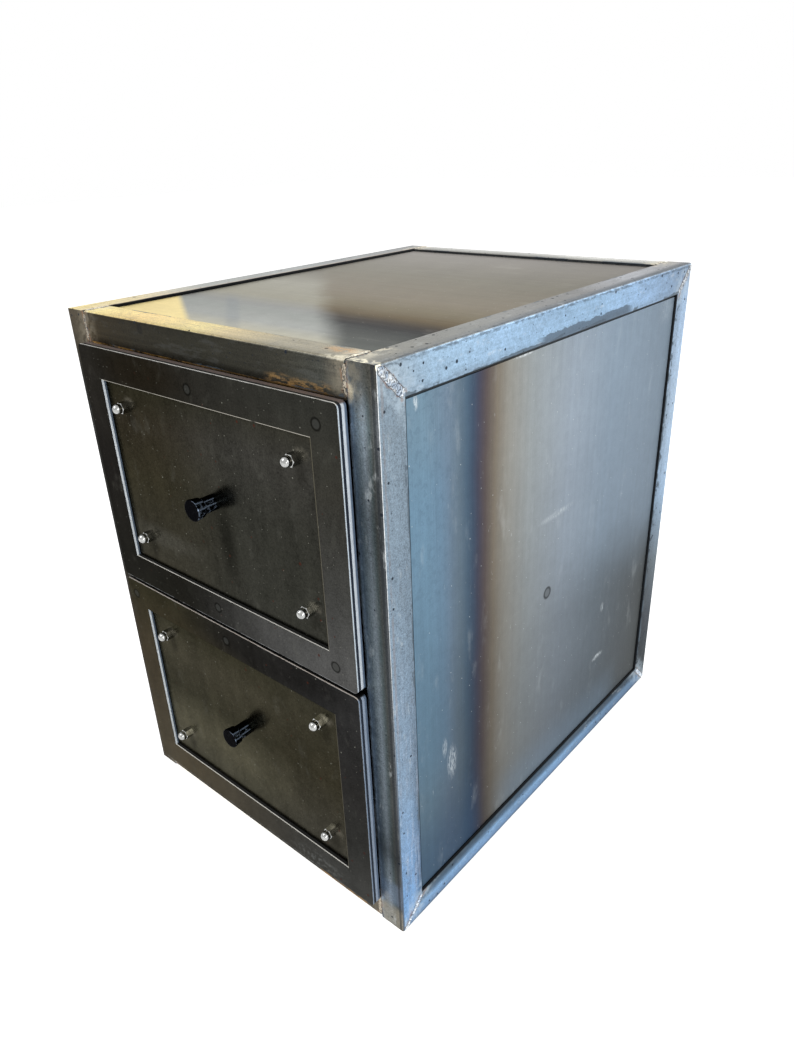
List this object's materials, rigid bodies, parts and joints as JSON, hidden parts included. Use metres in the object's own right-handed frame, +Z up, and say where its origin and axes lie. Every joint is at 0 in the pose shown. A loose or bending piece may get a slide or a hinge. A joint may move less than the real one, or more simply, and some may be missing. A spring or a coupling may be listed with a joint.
{
  "type": "drawer cabinet",
  "caption": "Low raw-steel cabinet: welded square-tube frame, recessed sheet panels, stacked drawers on ball slides, each with a framed plate front, dome nuts and a round knob.",
  "frame": {"origin": "on the floor, below the centre of the closed object's box, knobs included", "axes": "+Z up, +X to the right seen from the front, +Y from the drawer fronts to the back"},
  "size_m": [0.3992, 0.5411, 0.5506],
  "materials": {
    "tube_steel": "raw mill scale, blue-grey with brown heat tint",
    "panel_steel": "raw rolled sheet, grey with a blue and brown band",
    "plate_steel": "dark mill scale with bright cut edges",
    "gloss_plate_steel": "glossy dark brown",
    "weld_metal": "bright weld bead",
    "bar_steel": "raw flat bar",
    "tray_steel": "zinc-coated sheet",
    "zinc_sheet": "bright zinc plating",
    "zinc_fastener": "bright zinc plating",
    "knob_plastic": "glossy black"
  },
  "bodies": {
    "cabinet": {"left_front_post": "tube_steel", "right_front_post": "tube_steel", "left_rear_post": "tube_steel", "right_rear_post": "tube_steel", "left_top_rail": "tube_steel", "right_top_rail": "tube_steel", "left_bottom_rail": "tube_steel", "right_bottom_rail": "tube_steel", "front_top_rail": "tube_steel", "rear_top_rail": "tube_steel", "front_bottom_rail": "tube_steel", "rear_bottom_rail": "tube_steel", "left_side_panel": "panel_steel", "right_side_panel": "panel_steel", "top_panel": "panel_steel", "bottom_panel": "panel_steel", "back_panel": "panel_steel", "weld_beads": "weld_metal", "panel_ledges": "bar_steel", "slide_bars": "bar_steel", "cabinet_slide_screws": "zinc_fastener", "lower_left_cabinet_member": "zinc_sheet", "lower_right_cabinet_member": "zinc_sheet", "upper_left_cabinet_member": "zinc_sheet", "upper_right_cabinet_member": "zinc_sheet"},
    "lower_drawer": {"lower_window_frame": "plate_steel", "lower_front_plate": "gloss_plate_steel", "lower_tray_shell": "tray_steel", "lower_tray_front_wall": "tray_steel", "lower_tray_rear_wall": "tray_steel", "lower_knob": "knob_plastic", "lower_dome_nuts": "zinc_fastener", "lower_front_bolts": "zinc_fastener", "lower_tray_screws": "zinc_fastener", "lower_left_drawer_member": "zinc_sheet", "lower_right_drawer_member": "zinc_sheet"},
    "upper_drawer": {"upper_window_frame": "plate_steel", "upper_front_plate": "gloss_plate_steel", "upper_tray_shell": "tray_steel", "upper_tray_front_wall": "tray_steel", "upper_tray_rear_wall": "tray_steel", "upper_knob": "knob_plastic", "upper_dome_nuts": "zinc_fastener", "upper_front_bolts": "zinc_fastener", "upper_tray_screws": "zinc_fastener", "upper_left_drawer_member": "zinc_sheet", "upper_right_drawer_member": "zinc_sheet"},
    "lower_left_intermediate": {"lower_left_intermediate_member": "zinc_sheet"},
    "lower_left_outer_cage": {"lower_left_outer_ball_cage": "zinc_sheet"},
    "lower_left_inner_cage": {"lower_left_inner_ball_cage": "zinc_sheet"},
    "lower_right_intermediate": {"lower_right_intermediate_member": "zinc_sheet"},
    "lower_right_outer_cage": {"lower_right_outer_ball_cage": "zinc_sheet"},
    "lower_right_inner_cage": {"lower_right_inner_ball_cage": "zinc_sheet"},
    "upper_left_intermediate": {"upper_left_intermediate_member": "zinc_sheet"},
    "upper_left_outer_cage": {"upper_left_outer_ball_cage": "zinc_sheet"},
    "upper_left_inner_cage": {"upper_left_inner_ball_cage": "zinc_sheet"},
    "upper_right_intermediate": {"upper_right_intermediate_member": "zinc_sheet"},
    "upper_right_outer_cage": {"upper_right_outer_ball_cage": "zinc_sheet"},
    "upper_right_inner_cage": {"upper_right_inner_ball_cage": "zinc_sheet"}
  },
  "joints": [
    {"name": "lower_drawer_slide", "type": "slide", "parent": "cabinet", "child": "lower_drawer", "axis": [0, -1, 0], "range_m": [0, 0.45]},
    {"name": "upper_drawer_slide", "type": "slide", "parent": "cabinet", "child": "upper_drawer", "axis": [0, -1, 0], "range_m": [0, 0.45]},
    {"name": "lower_left_intermediate_slide", "type": "slide", "parent": "cabinet", "child": "lower_left_intermediate", "axis": [0, -1, 0], "range_m": [0, 0.225]},
    {"name": "lower_left_outer_cage_slide", "type": "slide", "parent": "cabinet", "child": "lower_left_outer_cage", "axis": [0, -1, 0], "range_m": [0, 0.1125]},
    {"name": "lower_left_inner_cage_slide", "type": "slide", "parent": "cabinet", "child": "lower_left_inner_cage", "axis": [0, -1, 0], "range_m": [0, 0.3375]},
    {"name": "lower_right_intermediate_slide", "type": "slide", "parent": "cabinet", "child": "lower_right_intermediate", "axis": [0, -1, 0], "range_m": [0, 0.225]},
    {"name": "lower_right_outer_cage_slide", "type": "slide", "parent": "cabinet", "child": "lower_right_outer_cage", "axis": [0, -1, 0], "range_m": [0, 0.1125]},
    {"name": "lower_right_inner_cage_slide", "type": "slide", "parent": "cabinet", "child": "lower_right_inner_cage", "axis": [0, -1, 0], "range_m": [0, 0.3375]},
    {"name": "upper_left_intermediate_slide", "type": "slide", "parent": "cabinet", "child": "upper_left_intermediate", "axis": [0, -1, 0], "range_m": [0, 0.225]},
    {"name": "upper_left_outer_cage_slide", "type": "slide", "parent": "cabinet", "child": "upper_left_outer_cage", "axis": [0, -1, 0], "range_m": [0, 0.1125]},
    {"name": "upper_left_inner_cage_slide", "type": "slide", "parent": "cabinet", "child": "upper_left_inner_cage", "axis": [0, -1, 0], "range_m": [0, 0.3375]},
    {"name": "upper_right_intermediate_slide", "type": "slide", "parent": "cabinet", "child": "upper_right_intermediate", "axis": [0, -1, 0], "range_m": [0, 0.225]},
    {"name": "upper_right_outer_cage_slide", "type": "slide", "parent": "cabinet", "child": "upper_right_outer_cage", "axis": [0, -1, 0], "range_m": [0, 0.1125]},
    {"name": "upper_right_inner_cage_slide", "type": "slide", "parent": "cabinet", "child": "upper_right_inner_cage", "axis": [0, -1, 0], "range_m": [0, 0.3375]}
  ],
  "couplings": [
    {"joint": "lower_left_intermediate_slide", "follows": "lower_drawer_slide", "ratio": 0.5},
    {"joint": "lower_left_outer_cage_slide", "follows": "lower_drawer_slide", "ratio": 0.25},
    {"joint": "lower_left_inner_cage_slide", "follows": "lower_drawer_slide", "ratio": 0.75},
    {"joint": "lower_right_intermediate_slide", "follows": "lower_drawer_slide", "ratio": 0.5},
    {"joint": "lower_right_outer_cage_slide", "follows": "lower_drawer_slide", "ratio": 0.25},
    {"joint": "lower_right_inner_cage_slide", "follows": "lower_drawer_slide", "ratio": 0.75},
    {"joint": "upper_left_intermediate_slide", "follows": "upper_drawer_slide", "ratio": 0.5},
    {"joint": "upper_left_outer_cage_slide", "follows": "upper_drawer_slide", "ratio": 0.25},
    {"joint": "upper_left_inner_cage_slide", "follows": "upper_drawer_slide", "ratio": 0.75},
    {"joint": "upper_right_intermediate_slide", "follows": "upper_drawer_slide", "ratio": 0.5},
    {"joint": "upper_right_outer_cage_slide", "follows": "upper_drawer_slide", "ratio": 0.25},
    {"joint": "upper_right_inner_cage_slide", "follows": "upper_drawer_slide", "ratio": 0.75}
  ]
}
